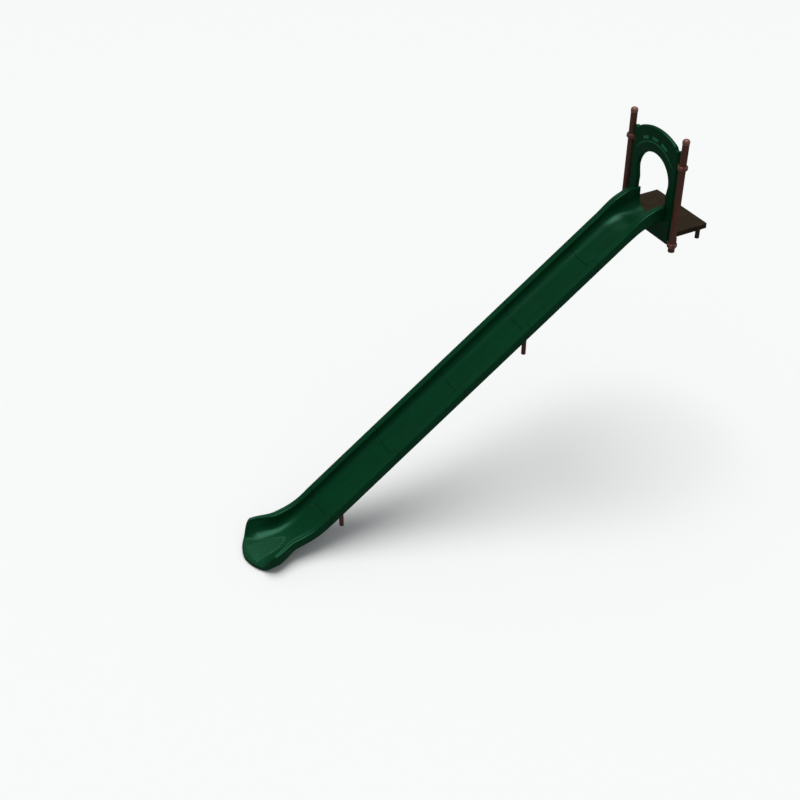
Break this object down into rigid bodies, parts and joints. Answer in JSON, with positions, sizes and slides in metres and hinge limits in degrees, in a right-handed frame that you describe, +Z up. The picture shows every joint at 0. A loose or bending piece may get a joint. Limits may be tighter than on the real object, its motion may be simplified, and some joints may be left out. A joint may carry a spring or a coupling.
{
  "type": "embankment slide",
  "caption": "Long straight sectional slide for a grass bank, with an arch entry panel between two posts, a half deck, leg supports and a flared, rounded exit.",
  "frame": {"origin": "midway between the two posts, at the level where they leave the ground; the deck's top is 0.27 m above it", "axes": "+X horizontally down the bank, +Y to the left of someone who slides down, +Z up"},
  "size_m": [6.5709, 1.1998, 4.8283],
  "materials": {
    "green_chute": "semi-gloss rotomoulded polyethylene, fine moulded texture",
    "green_panel": "semi-gloss rotomoulded polyethylene, fine moulded texture",
    "brown_powder_coat": "satin powder coat on steel tube",
    "brown_cast_clamp": "satin powder coat on cast metal",
    "brown_deck_coat": "matt soft vinyl dip coat on steel sheet",
    "zinc_hardware": "zinc plated"
  },
  "bodies": {
    "root": {"arch_panel": "green_panel", "clamp_lower_left_back": "brown_cast_clamp", "clamp_lower_left_front": "brown_cast_clamp", "clamp_lower_left_inner_bolt": "zinc_hardware", "clamp_lower_left_outer_bolt": "zinc_hardware", "clamp_lower_right_back": "brown_cast_clamp", "clamp_lower_right_front": "brown_cast_clamp", "clamp_lower_right_inner_bolt": "zinc_hardware", "clamp_lower_right_outer_bolt": "zinc_hardware", "clamp_upper_left_back": "brown_cast_clamp", "clamp_upper_left_front": "brown_cast_clamp", "clamp_upper_left_inner_bolt": "zinc_hardware", "clamp_upper_left_outer_bolt": "zinc_hardware", "clamp_upper_right_back": "brown_cast_clamp", "clamp_upper_right_front": "brown_cast_clamp", "clamp_upper_right_inner_bolt": "zinc_hardware", "clamp_upper_right_outer_bolt": "zinc_hardware", "deck_leg_left": "brown_powder_coat", "deck_leg_right": "brown_powder_coat", "deck_platform": "brown_deck_coat", "deck_saddle_left": "brown_cast_clamp", "deck_saddle_right": "brown_cast_clamp", "deck_stiffener": "brown_deck_coat", "entry_bolt_left": "zinc_hardware", "entry_bolt_right": "zinc_hardware", "joint_1_bolt_left": "zinc_hardware", "joint_1_bolt_right": "zinc_hardware", "joint_2_bolt_left": "zinc_hardware", "joint_2_bolt_right": "zinc_hardware", "joint_3_bolt_left": "zinc_hardware", "joint_3_bolt_right": "zinc_hardware", "joint_4_bolt_left": "zinc_hardware", "joint_4_bolt_right": "zinc_hardware", "joint_5_bolt_left": "zinc_hardware", "joint_5_bolt_right": "zinc_hardware", "lower_support_crossbar": "brown_powder_coat", "lower_support_leg_left": "brown_powder_coat", "lower_support_leg_right": "brown_powder_coat", "post_cap_left": "brown_powder_coat", "post_cap_right": "brown_powder_coat", "post_left": "brown_powder_coat", "post_right": "brown_powder_coat", "slide_exit_section": "green_chute", "slide_middle_section_1": "green_chute", "slide_middle_section_2": "green_chute", "slide_middle_section_3": "green_chute", "slide_middle_section_4": "green_chute", "slide_top_section": "green_chute", "upper_support_crossbar": "brown_powder_coat", "upper_support_leg_left": "brown_powder_coat", "upper_support_leg_right": "brown_powder_coat"}
  },
  "joints": []
}
